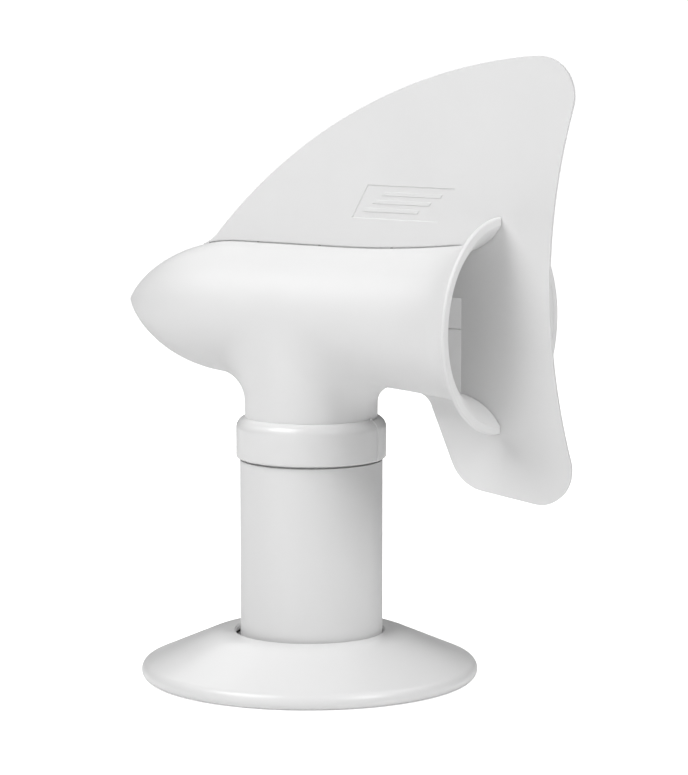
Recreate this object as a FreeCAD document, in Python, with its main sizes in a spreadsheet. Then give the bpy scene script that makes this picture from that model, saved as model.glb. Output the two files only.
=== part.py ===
import FreeCAD, Part
import math
import os

import Sketcher

# A wind-turned roof vent. Millimetres, +Z up, origin on the stack's axis where the vent meets the roof.
# The nose points along -X, the mouth and the tail fin along +X, and the fin stands in the XZ plane.

V = FreeCAD.Vector
doc = FreeCAD.newDocument("roof_vent")
sheet = doc.addObject("Spreadsheet::Sheet", "dims")

DIMENSIONS = {
    # stack tube
    "pipe_bore": 30.55, "tube_radius": 33.35, "tube_foot": 7.5, "tube_top": 116.0,
    "counterbore": 31.55, "counterbore_floor": 85.0,
    # roof flange, gasket and seal
    "gasket_radius": 69.0, "gasket_thick": 2.5, "flange_radius": 70.0, "flange_top": 5.5,
    "flange_bore": 31.2, "seal_floor": 4.0, "hub_radius": 37.5, "hub_top": 18.0,
    "rib_reach": 54.0, "rib_height": 11.0, "rib_thick": 2.4,
    "screw_circle": 57.5, "screw_hole": 2.5,
    # bearing spider in the tube and its bushes
    "spider_ring_inner": 28.8, "spider_height": 12.0, "arm_width": 4.0,
    "spider_hub": 7.5, "spider_hub_foot": 90.0, "spider_hub_top": 103.0,
    "bush_outer": 4.5, "bush_bore": 2.55, "bush_length": 6.0, "bush_rim": 6.5, "bush_rim_thick": 1.2,
    # spindle, washers and clip
    "spindle_radius": 2.5, "spindle_foot": 85.5, "spindle_top": 124.0,
    "clip_groove_foot": 86.9, "clip_groove_top": 87.75, "clip_groove_radius": 2.05,
    "washer_bore": 2.6, "thrust_foot": 104.25, "thrust_top": 105.25, "thrust_radius": 6.3,
    "lower_washer_foot": 87.85, "lower_washer_top": 88.7, "lower_washer_radius": 5.5,
    # yoke in the neck
    "yoke_ring_outer": 27.95, "yoke_ring_inner": 25.4, "yoke_foot": 114.0, "yoke_top": 123.0,
    "yoke_hub": 7.0, "yoke_hub_foot": 105.3, "yoke_hub_top": 125.0, "yoke_screw_level": 118.5,
    # head shell
    "axis_height": 171.7, "neck_radius": 31.0, "neck_bore": 28.0, "neck_foot": 108.0,
    "neck_blend": 16.0, "barrel_radius": 31.1, "barrel_bore": 28.5, "nose_length": 64.6,
    "nose_arc": 84.67, "nose_tip": 105.5, "nose_wall": 98.0, "flare_start": 15.0,
    "throat": 83.2, "throat_radius": 35.2, "throat_bore": 31.9, "mouth": 104.3, "mouth_radius": 49.3,
    "lip_inner": 44.6, "flare_arc": 567.0, "bell_arc": 25.1, "bell_bore_arc": 28.0,
    # tail fin
    "fin_thick": 2.2, "slot_width": 2.5, "fin_sink": 0.6, "panel_depth": 0.4, "emblem_rise": 0.3,
    "fin_pin_radius": 0.8, "fin_pin_length": 7.7, "fin_pin_top": 36.8,
    "fin_top_corner": 16.0, "fin_low_corner": 15.2, "fin_toe_corner": 20.0,
    # collar
    "collar_radius": 35.12, "collar_foot": 103.8, "collar_top": 123.6, "collar_bore": 33.9,
    "collar_ledge": 116.6, "collar_grip": 31.05, "collar_round": 5.6, "collar_edge": 1.15,
    "bead_rise": 0.35, "dowel_radius": 0.8, "dowel_hole_length": 8.0,
    # trim skirt
    "skirt_radius": 78.97, "skirt_bore": 34.7, "skirt_wall": 2.2, "skirt_slope": 23.5,
    "skirt_widest": 3.6, "skirt_shoulder": 4.5, "skirt_inner_rim": 73.8, "skirt_top": 21.9,
    "skirt_knee": 5.0,
}
CELL_COLUMN, NAME_COLUMN = "B", "A"
for row, (word, number) in enumerate(DIMENSIONS.items(), start=1):
    sheet.set(f"{NAME_COLUMN}{row}", word)
    sheet.set(f"{CELL_COLUMN}{row}", str(number))
    sheet.setAlias(f"{CELL_COLUMN}{row}", word)
doc.recompute()

ARMS = 3                                        # arms of the spider and of the yoke
RIBS = 8                                        # ribs round the flange's hub
ROOF_SCREWS = 4                                 # screw holes through the flange and the gasket
ROOF_SCREW_START = 45.0                         # degrees from +X to the first of them
SEAM_TURN = 6.5                                 # degrees the collar's seam stands off the nose-to-tail line
SEAM_GAP = 0.1                                  # degrees left open on each side of the seam
BEAD_SPAN = 1.6                                 # degrees the bead on the seam covers
DOWEL_REACH, DOWEL_LEVEL, DOWEL_LENGTH = 33.2, 119.6, 7.0
SKIRT_SHIFT = V(-0.75, -0.52, 0)                # the loose skirt sits a little off centre

SCREW_RADIUS, SCREW_HEAD = 1.5, 2.9             # the yoke's screws
SCREW_START, SCREW_SINK, SCREW_FACE = 17.0, 29.4, 30.9
PIN_PLACES = (-30.0, 5.0, 45.0)                 # where pins hold the fin, along the barrel

FIN_FOOT, FIN_TAIL_ROOT = -61.0, 59.0           # ends of the fin's root, above and below the barrel
LEAD_CENTRE, LEAD_ARC = (144.39, 26.82), 266.44       # the fin's long leading edge
TRAIL_CENTRE, TRAIL_ARC = (404.94, 192.15), 276.2     # its hollow trailing edge
LEAD_FROM, LEAD_TO = -52.8, 147.75              # where the leading edge starts and ends
FIN_HEEL, FIN_TOE, FIN_FRONT = 89.7, (83.3, 97.9), (68.0, 132.3)
PANEL = ((23.2, 216.6), (32.2, 232.4), (79.8, 232.4), (70.6, 216.6))   # a slanted panel, from its low front
BARS, BAR_PITCH, BAR_THICK = 3, 3.8, 2.0        # raised bars on the panel
nodes = []


# ---------------------------------------------------------------- reading the sheet

def terms(words):
    """A sum such as "tube_radius + 2" as signed cells and numbers."""
    sign = 1
    for part in words.split():
        if part in "+-":
            sign = 1 if part == "+" else -1
        else:
            yield sign, part
            sign = 1


def value(words):
    """The number that a sum of cells and numbers comes to."""
    if not isinstance(words, str):
        return float(words)
    return sum(s * (sheet.get(p) if p in DIMENSIONS else float(p)) for s, p in terms(words))


def formula(words):
    """The same sum as an expression bound to the sheet."""
    text = "".join(f" {'+' if s > 0 else '-'} {'dims.' + p if p in DIMENSIONS else p}"
                   for s, p in terms(str(words)))
    return text.strip().lstrip("+ ")


def bind(thing, path, words):
    thing.setExpression(path, formula(words))


# ---------------------------------------------------------------- Part primitives

def cylinder(name, radius, low, high):
    """An upright cylinder on the Z axis between two levels."""
    made = doc.addObject("Part::Cylinder", name)
    bind(made, "Radius", radius)
    made.setExpression("Height", f"{formula(high)} - ({formula(low)})")
    bind(made, "Placement.Base.z", low)
    return made


def cut(name, base, *tools):
    """base less the tools, as one Part::Cut."""
    tool = tools[0]
    if len(tools) > 1:
        tool = doc.addObject("Part::MultiFuse", name + "_tools")
        tool.Shapes = list(tools)
    made = doc.addObject("Part::Cut", name)
    made.Base, made.Tool = base, tool
    return made


def ring(name, outer, inner, low, high):
    solid = cylinder(name + "_outer", outer, low, high)
    hole = cylinder(name + "_hole", inner, low + " - 1", high + " + 1")
    return cut(name, solid, hole)


def group(name, members):
    """Separate solids that share one node."""
    made = doc.addObject("Part::Compound", name)
    made.Links = members
    return made


def node(made, label):
    """Gives a finished sub-part its node name."""
    made.Label = label
    nodes.append(made)
    return made


# ---------------------------------------------------------------- PartDesign helpers

def new_body(label):
    return node(doc.addObject("PartDesign::Body", label + "_body"), label)


def plane(body, role):
    return next(f for f in body.Origin.OriginFeatures if f.Role == role)


def new_sketch(body, name, role="XZ_Plane", lift="0", away="0"):
    """A sketch on one of the body's planes: lift moves it along its own Y, away along its normal."""
    made = body.newObject("Sketcher::SketchObject", name)
    made.AttachmentSupport = [(plane(body, role), "")]
    made.MapMode = "FlatFace"
    made.AttachmentOffset = FreeCAD.Placement(V(0, value(lift), value(away)), FreeCAD.Rotation())
    bind(made, "AttachmentOffset.Base.y", lift)
    bind(made, "AttachmentOffset.Base.z", away)
    return made


def outline(sketch, path):
    """Draws a closed outline. Each step is a corner (x, y), or an arc (x, y, through point) to a corner.

    Corners are sums of the sheet's cells, and each is held by two constraints bound to them.
    """
    corners = [(value(step[0]), value(step[1])) for step in path]
    first = sketch.GeometryCount
    for number, step in enumerate(path):
        start, end = V(*corners[number - 1]), V(*corners[number])
        if len(step) == 3:
            edge = Part.Arc(start, V(*step[2]), end)
        else:
            edge = Part.LineSegment(start, end)
        sketch.addGeometry(edge, False)
    for number, step in enumerate(path):
        this = first + number
        after = first + (number + 1) % len(path)
        corner = V(*corners[number])
        end_point = 2 if ends_at(sketch, this, corner) else 1
        start_point = 1 if starts_at(sketch, after, corner) else 2
        sketch.addConstraint(Sketcher.Constraint("Coincident", this, end_point, after, start_point))
        for kind, words, place in (("DistanceX", step[0], corner.x), ("DistanceY", step[1], corner.y)):
            if isinstance(words, str) and abs(place) > 1e-6:
                held = sketch.addConstraint(Sketcher.Constraint(kind, -1, 1, this, end_point, place))
                sketch.setExpression(f"Constraints[{held}]", formula(words))


def ends_at(sketch, number, corner):
    return sketch.getPoint(number, 2).isEqual(corner, 1e-5)


def starts_at(sketch, number, corner):
    return sketch.getPoint(number, 1).isEqual(corner, 1e-5)


def circle(sketch, radius, x=0.0, y=0.0):
    number = sketch.addGeometry(Part.Circle(V(x, y, 0), V(0, 0, 1), value(radius)), False)
    held = sketch.addConstraint(Sketcher.Constraint("Radius", number, value(radius)))
    sketch.setExpression(f"Constraints[{held}]", formula(radius))


def pad(body, sketch, length, middle=False, reverse=False):
    made = body.newObject("PartDesign::Pad", sketch.Name + "_pad")
    made.Profile = sketch
    bind(made, "Length", length)
    made.Midplane, made.Reversed = middle, reverse
    return made


def pocket(body, sketch, length, middle=False, reverse=False):
    """Cuts a pocket, and stops if it took nothing away."""
    doc.recompute()
    before = body.Shape.Volume
    made = body.newObject("PartDesign::Pocket", sketch.Name + "_pocket")
    made.Profile = sketch
    bind(made, "Length", length)
    made.Midplane, made.Reversed = middle, reverse
    doc.recompute()
    if body.Shape.Volume > before - 0.01:
        raise RuntimeError(f"{made.Name} cuts nothing")
    return made


def turn(body, sketch, axis="V_Axis", angle=360.0, take_away=False, reverse=False):
    """A revolution about one of the sketch's axes, or a groove where take_away is set."""
    kind = "PartDesign::Groove" if take_away else "PartDesign::Revolution"
    doc.recompute()
    before = body.Shape.Volume if take_away else 0.0
    made = body.newObject(kind, sketch.Name + ("_groove" if take_away else "_turned"))
    made.Profile = sketch
    made.ReferenceAxis = (sketch, [axis])
    made.Angle, made.Reversed = angle, reverse
    doc.recompute()
    if take_away and body.Shape.Volume > before - 0.01:
        raise RuntimeError(f"{made.Name} cuts nothing")
    return made


def around(body, feature, count):
    """Repeats a feature evenly round the Z axis."""
    made = body.newObject("PartDesign::PolarPattern", feature.Name + "_round")
    made.Originals = [feature]
    made.Axis = (plane(body, "Z_Axis"), [""])
    made.Angle = 360
    made.Occurrences = count
    body.Tip = made
    return made


def round_edges(body, name, edges, radius):
    """A fillet on the named edges of the body's last feature."""
    base = body.Tip
    made = body.newObject("PartDesign::Fillet", name)
    made.Base = (base, edges)
    bind(made, "Radius", radius)
    body.Tip = made
    doc.recompute()


def between(start, end, radius, side):
    """The middle point of the arc of that radius from start to end; side is +1 or -1."""
    a, b = V(*start), V(*end)
    half = (b - a).Length / 2
    rise = radius - math.sqrt(radius ** 2 - half ** 2)
    across = V(-(b - a).y, (b - a).x, 0).normalize()
    middle = (a + b) / 2 + across * rise * side
    return middle.x, middle.y


# ---------------------------------------------------------------- fixed to the roof

def roof_gasket():
    """A flat rubber ring under the flange, with the screws' four holes."""
    solid = cylinder("gasket_outer", "gasket_radius", "0", "gasket_thick")
    tools = [cylinder("gasket_hole", "flange_bore", "- 1", "gasket_thick + 1")]
    for number in range(ROOF_SCREWS):
        hole = cylinder(f"gasket_screw_hole_{number}", "screw_hole", "- 1", "gasket_thick + 1")
        angle = roof_screw_angle(number)
        hole.setExpression("Placement.Base.x", f"dims.screw_circle * {math.cos(angle):.9f}")
        hole.setExpression("Placement.Base.y", f"dims.screw_circle * {math.sin(angle):.9f}")
        tools.append(hole)
    node(cut("gasket", solid, *tools), "roof_gasket")


def roof_screw_angle(number):
    return math.radians(ROOF_SCREW_START + 360 / ROOF_SCREWS * number)


def mounting_flange():
    """A disc with a ribbed hub; the tube is bonded in the hub, above the seal's groove."""
    body = new_body("mounting_flange")
    profile = new_sketch(body, "flange_profile")
    outline(profile, [
        ("flange_bore", "gasket_thick"), ("flange_radius", "gasket_thick"),
        ("flange_radius", "flange_top - 1"), ("flange_radius - 1", "flange_top"),
        ("hub_radius", "flange_top"), ("hub_radius", "hub_top - 1"), ("hub_radius - 1", "hub_top"),
        ("tube_radius + 0.03", "hub_top"), ("tube_radius + 0.03", "seal_floor"),
        ("flange_bore", "seal_floor"),
    ])
    turn(body, profile)
    rib = new_sketch(body, "rib_outline")
    outline(rib, [
        ("hub_radius - 1", "flange_top - 0.5"), ("rib_reach", "flange_top - 0.5"),
        ("rib_reach", "flange_top + 0.5"), ("hub_radius", "flange_top + rib_height"),
        ("hub_radius - 1", "flange_top + rib_height"),
    ])
    around(body, pad(body, rib, "rib_thick", middle=True), RIBS)
    holes = new_sketch(body, "flange_holes", "XY_Plane", away="gasket_thick")
    for number in range(ROOF_SCREWS):
        angle = roof_screw_angle(number)
        reach = value("screw_circle")
        circle(holes, "screw_hole", reach * math.cos(angle), reach * math.sin(angle))
    pocket(body, holes, "flange_top", reverse=True)


def pipe_seal():
    """A rubber ring held between the flange and the tube, which grips the roof's own pipe."""
    node(ring("seal", "tube_radius - 0.05", "pipe_bore", "seal_floor", "tube_foot"), "pipe_seal")


def stack_tube():
    """The plain upright tube, bored out at the top for the spider and the head's neck."""
    body = new_body("stack_tube")
    profile = new_sketch(body, "tube_profile")
    outline(profile, [
        ("pipe_bore", "tube_foot"), ("tube_radius", "tube_foot"),
        ("tube_radius", "tube_top - 0.5"), ("tube_radius - 0.5", "tube_top"),
        ("counterbore", "tube_top"), ("counterbore", "counterbore_floor"),
        ("pipe_bore", "counterbore_floor"),
    ])
    turn(body, profile)


def carrier(label, ring_outer, ring_inner, foot, top, hub, hub_foot, hub_top, bore):
    """A ring with a hub held by thin arms. A hub that starts above the arms' feet leaves a recess."""
    body = new_body(label)
    rim = new_sketch(body, label + "_rim", "XY_Plane", away=foot)
    circle(rim, ring_outer)
    circle(rim, ring_inner)
    pad(body, rim, f"{top} - {foot}")
    arm = new_sketch(body, label + "_arm", "XY_Plane", away=foot)
    half = value("arm_width") / 2
    outline(arm, [
        (-1.0, -half), (ring_inner + " + 0.5", -half), (ring_inner + " + 0.5", half), (-1.0, half),
    ])
    around(body, pad(body, arm, f"{top} - {foot}"), ARMS)
    if value(hub_foot) > value(foot):
        recess = new_sketch(body, label + "_recess", "XY_Plane", away=foot)
        circle(recess, hub)
        pocket(body, recess, f"{hub_foot} - {foot}", reverse=True)
    middle = new_sketch(body, label + "_hub", "XY_Plane", away=hub_foot)
    circle(middle, hub)
    pad(body, middle, f"{hub_top} - {hub_foot}")
    hole = new_sketch(body, label + "_bore", "XY_Plane", away=hub_foot)
    circle(hole, bore)
    pocket(body, hole, f"{hub_top} - {hub_foot}", reverse=True)
    return body


def bearing_spider():
    """The bearing carrier: its ring stands on the ledge inside the tube."""
    carrier("bearing_spider", "counterbore - 0.03", "spider_ring_inner", "counterbore_floor",
            "counterbore_floor + spider_height", "spider_hub", "spider_hub_foot", "spider_hub_top",
            "bush_outer")


def bush(label, shoulder, up):
    """A flanged plastic bush: the flange is outside the hub and the sleeve inside."""
    body = new_body(label)
    profile = new_sketch(body, label + "_profile")
    rim, end = (" + ", " - ") if up else (" - ", " + ")
    outline(profile, [
        ("bush_bore", shoulder + rim + "bush_rim_thick"), ("bush_rim", shoulder + rim + "bush_rim_thick"),
        ("bush_rim", shoulder), ("bush_outer", shoulder),
        ("bush_outer", shoulder + end + "bush_length"), ("bush_bore", shoulder + end + "bush_length"),
    ])
    turn(body, profile)


# ---------------------------------------------------------------- the turning head

def head_shell():
    """Bullet nose, barrel, flared mouth and neck in one hollow moulding."""
    body = new_body("head_shell")
    barrel_outside(body)
    neck = new_sketch(body, "neck_outline", "XY_Plane", away="neck_foot")
    circle(neck, "neck_radius")
    pad(body, neck, "axis_height - neck_foot")
    doc.recompute()
    blend_neck(body)
    barrel_inside(body)
    hole = new_sketch(body, "neck_hole", "XY_Plane", away="neck_foot")
    circle(hole, "neck_bore")
    pocket(body, hole, "axis_height - neck_foot", reverse=True)
    fin_seat(body)
    pin_holes = new_sketch(body, "fin_pin_holes", "XY_Plane", away="axis_height")
    for x in PIN_PLACES:
        circle(pin_holes, "fin_pin_radius", x)
    pocket(body, pin_holes, "mouth_radius", reverse=True)
    screw_hole = new_sketch(body, "yoke_screw_hole", lift="yoke_screw_level")
    inside, outside = value("neck_bore - 2"), value("neck_radius + 0.6")
    outline(screw_hole, [
        (inside, 0.0), (inside, SCREW_RADIUS), (SCREW_SINK, SCREW_RADIUS),
        (value("neck_radius"), SCREW_HEAD), (outside, SCREW_HEAD), (outside, 0.0),
    ])
    around(body, turn(body, screw_hole, "H_Axis", take_away=True), ARMS)


def ogive(inset):
    """The nose's arc, moved inwards by inset: its centre (x, r) and radius."""
    centre = (value("nose_length - nose_tip"), value("barrel_radius - nose_arc"))
    return centre, value("nose_arc") - inset


def on_ogive(inset, x):
    (cx, cy), radius = ogive(inset)
    return cy + math.sqrt(radius ** 2 - (x - cx) ** 2)


def barrel_outside(body):
    """The outer form, turned about the barrel's axis: rounded tip, ogive, flare, bell and lip."""
    profile = new_sketch(body, "barrel_profile", lift="axis_height")
    tip, length, arc = value("nose_tip"), value("nose_length"), value("nose_arc")
    drop = arc - value("barrel_radius")
    tip_radius = (arc ** 2 - length ** 2 - drop ** 2) / (2 * (arc - length))
    (cx, cy), radius = ogive(0)
    toward = V(tip_radius - tip - cx, -cy, 0).normalize()
    meet = V(cx, cy, 0) + toward * radius
    nose_middle = (-tip + cx) / 2
    throat = (value("throat"), value("throat_radius"))
    flare_from = (value("flare_start"), value("barrel_radius"))
    lip_back = (value("mouth - 2.0"), value("mouth_radius - 0.8"))
    outline(profile, [
        (meet.x, meet.y, (tip_radius * 0.12 - tip, tip_radius * math.sqrt(1 - 0.88 ** 2))),
        ("nose_length - nose_tip", "barrel_radius", (nose_middle, on_ogive(0, nose_middle))),
        ("flare_start", "barrel_radius"),
        ("throat", "throat_radius", between(flare_from, throat, value("flare_arc"), -1)),
        ("mouth - 2", "mouth_radius - 0.8", between(throat, lip_back, value("bell_arc"), -1)),
        ("mouth", "mouth_radius - 1", (value("mouth - 1.05"), value("mouth_radius"))),
        ("mouth", 0.0),
        ("- nose_tip", 0.0),
    ])
    turn(body, profile, "H_Axis")


def blend_neck(body):
    """Rounds the corner where the neck meets the barrel."""
    edges = []
    for number, edge in enumerate(body.Shape.Edges, start=1):
        middle = edge.valueAt((edge.FirstParameter + edge.LastParameter) / 2)
        on_neck = abs(math.hypot(middle.x, middle.y) - value("neck_radius")) < 0.05
        if on_neck and middle.z > value("neck_foot + 20") and edge.Curve.TypeId != "Part::GeomLine":
            edges.append(f"Edge{number}")
    round_edges(body, "neck_fillet", edges, "neck_blend")


def barrel_inside(body):
    """The air duct: everything inside the nose, barrel and bell."""
    duct = new_sketch(body, "duct_profile", lift="axis_height")
    wall = value("barrel_radius - barrel_bore")
    nose_end = value("- nose_wall")
    nose_middle = (nose_end + value("nose_length - nose_tip")) / 2
    flare_from = (value("flare_start"), value("barrel_bore"))
    throat = (value("throat"), value("throat_bore"))
    outline(duct, [
        ("- nose_wall", 0.0),
        (nose_end, on_ogive(wall, nose_end)),
        ("nose_length - nose_tip", "barrel_bore", (nose_middle, on_ogive(wall, nose_middle))),
        ("flare_start", "barrel_bore"),
        ("throat", "throat_bore", between(flare_from, throat, value("flare_arc"), -1)),
        ("mouth", "lip_inner", between(throat, (value("mouth"), value("lip_inner")),
                                       value("bell_bore_arc"), -1)),
        ("mouth + 2", "lip_inner"),
        ("mouth + 2", 0.0),
    ])
    turn(body, duct, "H_Axis", take_away=True)


def seat_line(sink):
    """The fin's root along the barrel, as (x, r) corners: foot, ogive end, flare start and throat."""
    barrel = value("barrel_radius") - sink
    return [(FIN_FOOT, on_ogive(0, FIN_FOOT) - sink), (value("nose_length - nose_tip"), barrel),
            (value("flare_start"), barrel), (value("throat"), value("throat_radius") - sink)]


def fin_seat(body):
    """A shallow groove for the fin's root along the barrel, and slots through the bell."""
    slots = new_sketch(body, "fin_slots", lift="axis_height")
    sink = value("fin_sink") + 0.05
    foot, ogive_end, flare_from, throat = seat_line(sink)
    ogive_middle = (foot[0] + ogive_end[0]) / 2
    edge = throat[0] - 0.1
    inside, outside = value("barrel_bore - 2"), value("mouth_radius + 4")
    outline(slots, [
        (foot[0] - 0.1, outside), (foot[0] - 0.1, foot[1]),
        (*ogive_end, (ogive_middle, on_ogive(0, ogive_middle) - sink)),
        flare_from,
        (edge, throat[1], between(flare_from, throat, value("flare_arc"), -1)),
        (edge, inside), (value("mouth + 2"), inside), (value("mouth + 2"), outside),
    ])
    root_x = FIN_TAIL_ROOT - 0.1
    root_r = flare_radius(root_x) - sink
    outline(slots, [
        (root_x, -outside), (root_x, -root_r),
        (edge, -throat[1], between((root_x, -root_r), (edge, -throat[1]), value("flare_arc"), 1)),
        (edge, -inside), (value("mouth + 2"), -inside), (value("mouth + 2"), -outside),
    ])
    pocket(body, slots, "slot_width", middle=True)


def flare_radius(x):
    """The barrel's outer radius along its flare."""
    arc = value("flare_arc")
    return value("barrel_radius") + arc - math.sqrt(arc ** 2 - (x - value("flare_start")) ** 2)


def on_lead(x):
    """The point of the leading edge at x, as (x, z)."""
    return x, LEAD_CENTRE[1] + math.sqrt(LEAD_ARC ** 2 - (x - LEAD_CENTRE[0]) ** 2)


def tail_fin():
    """The vane: an upright plate that straddles the barrel and closes the middle of the mouth."""
    body = new_body("tail_fin")
    plate = new_sketch(body, "fin_outline")
    axis = value("axis_height")
    foot, ogive_end, flare_from, throat = [(x, axis + r) for x, r in seat_line(value("fin_sink"))]
    ogive_middle = (foot[0] + ogive_end[0]) / 2
    foot_top = (foot[0], axis + on_ogive(0, foot[0]) + 0.1)
    lead_start, top = on_lead(LEAD_FROM), on_lead(LEAD_TO)
    heel_reach = math.sqrt(TRAIL_ARC ** 2 - (FIN_HEEL - TRAIL_CENTRE[1]) ** 2)
    heel = (TRAIL_CENTRE[0] - heel_reach, FIN_HEEL)
    tail_root = (FIN_TAIL_ROOT, axis - flare_radius(FIN_TAIL_ROOT) + value("fin_sink"))
    low_throat = (throat[0], axis - value("throat_radius - fin_sink"))
    outline(plate, [
        foot_top,
        (*lead_start, (-56.9, 202.5)),
        (*top, on_lead(30.0)),
        (*heel, (TRAIL_CENTRE[0] - TRAIL_ARC, TRAIL_CENTRE[1])),
        FIN_TOE,
        FIN_FRONT,
        (FIN_TAIL_ROOT, axis - flare_radius(FIN_TAIL_ROOT) - 0.1, (65.3, 136.2)),
        tail_root,
        (*low_throat, between(tail_root, low_throat, value("flare_arc"), 1)),
        throat,
        (*flare_from, between(throat, flare_from, value("flare_arc"), 1)),
        ogive_end,
        (*foot, (ogive_middle, axis + on_ogive(0, ogive_middle) - value("fin_sink"))),
    ])
    pad(body, plate, "fin_thick", middle=True)
    doc.recompute()
    round_corner(body, "fin_top_round", "fin_top_corner", top)
    round_corner(body, "fin_heel_round", "fin_low_corner", heel)
    round_corner(body, "fin_toe_round", "fin_toe_corner", FIN_TOE)
    for side in (-1, 1):
        fin_panel(body, side)
    pin_holes = new_sketch(body, "fin_root_holes", "XY_Plane", away="axis_height")
    for x in PIN_PLACES:
        circle(pin_holes, "fin_pin_radius", x)
    pocket(body, pin_holes, "fin_pin_top + 0.2", reverse=True)
    doc.recompute()


def round_corner(body, name, radius, corner):
    """Rounds the one upright edge of the plate that stands at this corner."""
    found = [f"Edge{i}" for i, e in enumerate(body.Shape.Edges, start=1)
             if abs(e.CenterOfMass.x - corner[0]) < 0.1 and abs(e.CenterOfMass.z - corner[1]) < 0.1]
    round_edges(body, name, found, radius)


def sketch_on_face(body, name, side, depth):
    """A sketch that lies depth below one face of the plate."""
    made = new_sketch(body, name)
    away = -side * (value("fin_thick") / 2 - value(depth))
    made.setExpression("AttachmentOffset.Base.z", f"{-side} * (dims.fin_thick / 2 - {formula(depth)})")
    made.AttachmentOffset = FreeCAD.Placement(V(0, 0, away), FreeCAD.Rotation())
    return made


def fin_panel(body, side):
    """A shallow slanted panel on one face, with slanted bars raised in it."""
    name = "left" if side < 0 else "right"
    recess = sketch_on_face(body, "panel_" + name, side, "0")
    outline(recess, PANEL)
    pocket(body, recess, "panel_depth", reverse=side > 0)
    bars = sketch_on_face(body, "bars_" + name, side, "panel_depth")
    low, high = PANEL[0][1], PANEL[1][1]
    lean = (PANEL[1][0] - PANEL[0][0]) / (high - low)
    shift = lean * BAR_THICK
    for number in range(BARS):
        rise = 3.2 + BAR_PITCH * number
        foot, head = low + rise, low + rise + BAR_THICK
        start = PANEL[0][0] + lean * rise + 4.5 + 3.0 * number
        end = PANEL[3][0] + lean * rise - 5.0 - 4.0 * (BARS - 1 - number)
        outline(bars, [(start, foot), (start + shift, head), (end + shift, head), (end, foot)])
    pad(body, bars, "emblem_rise", reverse=side > 0)
    doc.recompute()


def fin_pins():
    """Small pins between the barrel's roof and the fin's root."""
    pins = []
    for number, x in enumerate(PIN_PLACES):
        pin = cylinder(f"fin_pin_{number}", "fin_pin_radius - 0.02",
                       "axis_height + fin_pin_top - fin_pin_length", "axis_height + fin_pin_top")
        pin.Placement.Base.x = x
        pins.append(pin)
    node(group("fin_pin_set", pins), "fin_pins")


def head_yoke():
    """The insert in the neck whose hub holds the spindle, with pilot holes for its screws."""
    body = carrier("head_yoke", "yoke_ring_outer", "yoke_ring_inner", "yoke_foot", "yoke_top",
                   "yoke_hub", "yoke_hub_foot", "yoke_hub_top", "spindle_radius")
    pilot = new_sketch(body, "yoke_pilot", lift="yoke_screw_level")
    start, end = SCREW_START - 1, value("yoke_ring_outer + 1")
    outline(pilot, [(start, 0.0), (start, SCREW_RADIUS), (end, SCREW_RADIUS), (end, 0.0)])
    around(body, turn(body, pilot, "H_Axis", take_away=True), ARMS)


def yoke_screws():
    """Countersunk screws through the neck into the yoke's arms."""
    level = value("yoke_screw_level")
    outward = FreeCAD.Rotation(V(0, 1, 0), 90)
    slot_depth, slot_width = 0.6, 0.7
    screws = []
    for number in range(ARMS):
        shank = doc.addObject("Part::Cylinder", f"screw_shank_{number}")
        shank.Radius, shank.Height = SCREW_RADIUS - 0.03, SCREW_SINK - SCREW_START
        shank.Placement = FreeCAD.Placement(V(SCREW_START, 0, level), outward)
        head = doc.addObject("Part::Cone", f"screw_head_{number}")
        head.Radius1, head.Radius2 = SCREW_RADIUS - 0.03, SCREW_HEAD - 0.1
        head.Height = SCREW_FACE - SCREW_SINK
        head.Placement = FreeCAD.Placement(V(SCREW_SINK, 0, level), outward)
        slot = doc.addObject("Part::Box", f"screw_slot_{number}")
        slot.Length, slot.Width, slot.Height = slot_depth + 1, slot_width, 2 * SCREW_HEAD
        slot.Placement.Base = V(SCREW_FACE - slot_depth, -slot_width / 2, level - SCREW_HEAD)
        whole = doc.addObject("Part::Fuse", f"screw_blank_{number}")
        whole.Base, whole.Tool = shank, head
        screw = cut(f"yoke_screw_{number}", whole, slot)
        screw.Placement.Rotation = FreeCAD.Rotation(V(0, 0, 1), 360 / ARMS * number)
        screws.append(screw)
    node(group("yoke_screw_set", screws), "yoke_screws")


def spindle():
    """The stainless pin, with chamfered ends and a groove for the clip."""
    body = new_body("spindle")
    profile = new_sketch(body, "spindle_profile")
    outline(profile, [
        (0.0, "spindle_foot"), ("spindle_radius - 0.5", "spindle_foot"),
        ("spindle_radius", "spindle_foot + 0.5"), ("spindle_radius", "clip_groove_foot"),
        ("clip_groove_radius", "clip_groove_foot"), ("clip_groove_radius", "clip_groove_top"),
        ("spindle_radius", "clip_groove_top"), ("spindle_radius", "spindle_top - 0.5"),
        ("spindle_radius - 0.5", "spindle_top"), (0.0, "spindle_top"),
    ])
    turn(body, profile)


def washers_and_clip():
    """The washer that carries the head, the one under the lower bush, and the open spring clip."""
    node(ring("thrust_ring", "thrust_radius", "washer_bore", "thrust_foot", "thrust_top"), "thrust_washer")
    node(ring("lower_ring", "lower_washer_radius", "washer_bore", "lower_washer_foot", "lower_washer_top"),
         "lower_washer")
    clip = ring("clip_ring", "spindle_radius + 2", "clip_groove_radius + 0.03", "clip_groove_foot + 0.05",
                "clip_groove_top - 0.05")
    gap = doc.addObject("Part::Box", "clip_gap")
    gap.Length, gap.Width, gap.Height = 6, 2.6, 3
    gap.Placement.Base = V(0.5, -gap.Width.Value / 2, value("clip_groove_foot - 1"))
    node(cut("clip", clip, gap), "spindle_clip")


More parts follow.
